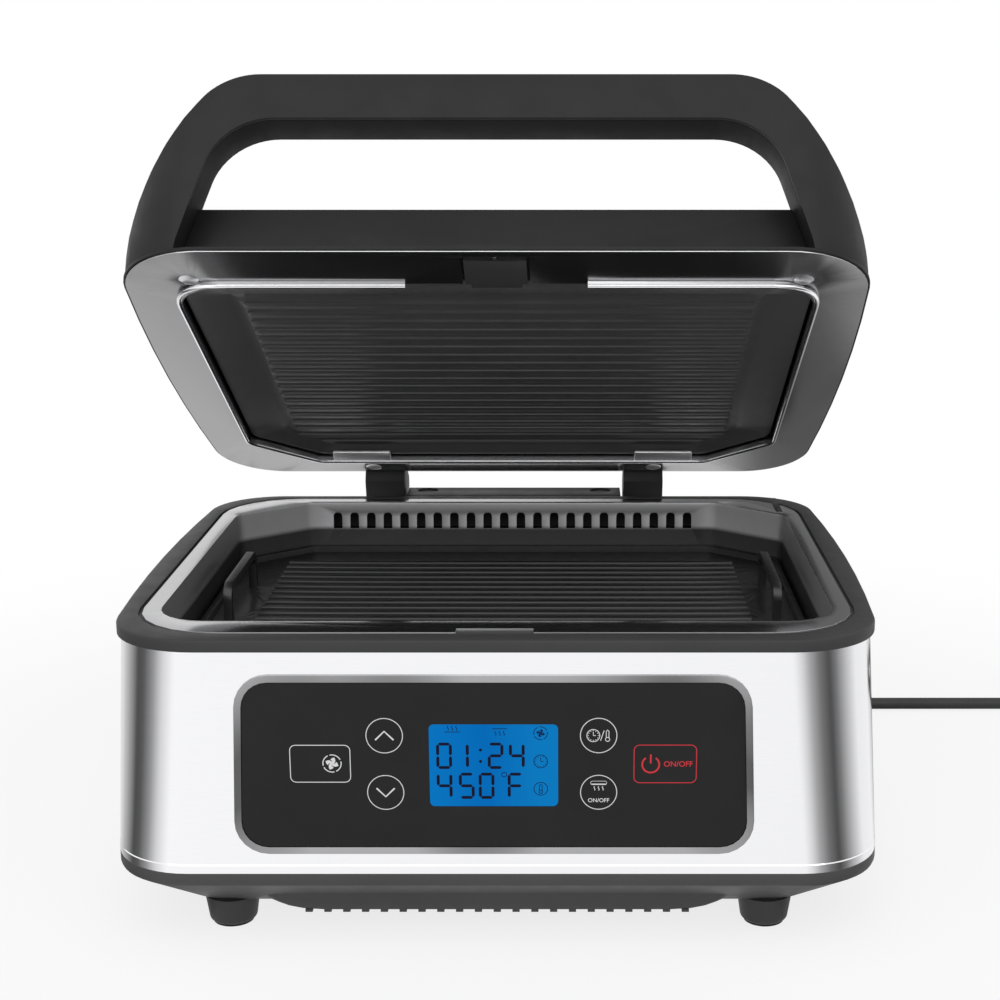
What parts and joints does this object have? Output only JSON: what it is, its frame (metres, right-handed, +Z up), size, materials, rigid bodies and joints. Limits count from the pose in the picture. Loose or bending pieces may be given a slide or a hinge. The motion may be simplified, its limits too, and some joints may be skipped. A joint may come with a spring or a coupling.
{
  "type": "electric indoor grill",
  "caption": "Countertop electric grill with a hinged lid, arch handle, ribbed upper plate, removable pan with a lower plate, steel body and a touch control panel.",
  "frame": {"origin": "middle of the appliance's footprint, on the worktop", "axes": "+Z up, +Y from the control panel to the hinge, +X to the right seen from the front"},
  "size_m": [0.751, 0.4982, 0.4615],
  "materials": {
    "black_plastic": "fine texture",
    "dark_plastic": "satin",
    "gloss_panel": "gloss",
    "frame_metal": "satin",
    "display": "lit blue",
    "stainless": "polished",
    "satin_metal": "satin",
    "zinc_steel": "zinc plated",
    "nonstick_pan": "satin nonstick",
    "nonstick_plate": "matte nonstick",
    "heater_sheath": "oxidised",
    "board_green": "solder mask",
    "pad_rubber": "matt",
    "cord_jacket": "satin",
    "fan_plastic": "satin",
    "prong_brass": "plated"
  },
  "bodies": {
    "root": {"bottom_cover": "black_plastic", "base_screws": "zinc_steel", "feet": "dark_plastic", "foot_pads": "pad_rubber", "body_band": "stainless", "top_bezel": "dark_plastic", "panel_frame": "frame_metal", "touch_panel": "gloss_panel", "lcd_display": "display", "control_board": "board_green", "power_board": "board_green", "heat_well": "zinc_steel", "lower_heater": "heater_sheath", "heater_brackets": "zinc_steel", "temp_sensor": "stainless", "fan_shroud": "black_plastic", "fan_motor": "zinc_steel", "exhaust_grille": "black_plastic", "hinge_housing": "dark_plastic", "hinge_plugs": "black_plastic", "hinge_pins": "zinc_steel", "friction_washers": "zinc_steel", "strain_relief": "cord_jacket", "power_cord": "cord_jacket", "cord_coil": "cord_jacket", "plug": "cord_jacket", "plug_prongs": "prong_brass"},
    "fan": {"fan_impeller": "fan_plastic"},
    "pan": {"cooking_pot": "nonstick_pan"},
    "grill_plate": {"lower_grill_plate": "nonstick_plate"},
    "lid": {"lid_shell": "black_plastic", "lid_top_cover": "stainless", "lid_trim": "satin_metal", "lid_screws": "stainless", "handle_front": "dark_plastic", "handle_rear": "black_plastic", "handle_screws": "zinc_steel", "hinge_arm_left": "black_plastic", "hinge_arm_right": "black_plastic", "lid_reflector": "satin_metal", "upper_heater": "heater_sheath", "upper_grill_plate": "nonstick_plate", "plate_clips": "stainless", "latch_spring": "zinc_steel"},
    "latch": {"plate_latch": "dark_plastic"}
  },
  "joints": [
    {"name": "lid_hinge", "type": "hinge", "parent": "root", "child": "lid", "pos_m": [0, 0.18135, 0.155], "axis": [-1, 0, 0], "range_deg": [-31, 59]},
    {"name": "latch_slide", "type": "slide", "parent": "lid", "child": "latch", "axis": [0, -0.8572, 0.515], "range_m": [0, 0.004], "stiffness_N_per_m": 400, "springref_m": -0.004},
    {"name": "fan_spin", "type": "hinge", "parent": "root", "child": "fan", "pos_m": [0, 0.15975, 0.098], "axis": [0, 1, 0], "continuous": true},
    {"name": "pan_lift", "type": "slide", "parent": "root", "child": "pan", "axis": [0, 0, 1], "range_m": [0, 0.015]},
    {"name": "plate_lift", "type": "slide", "parent": "pan", "child": "grill_plate", "axis": [0, 0, 1], "range_m": [0, 0.015]}
  ]
}
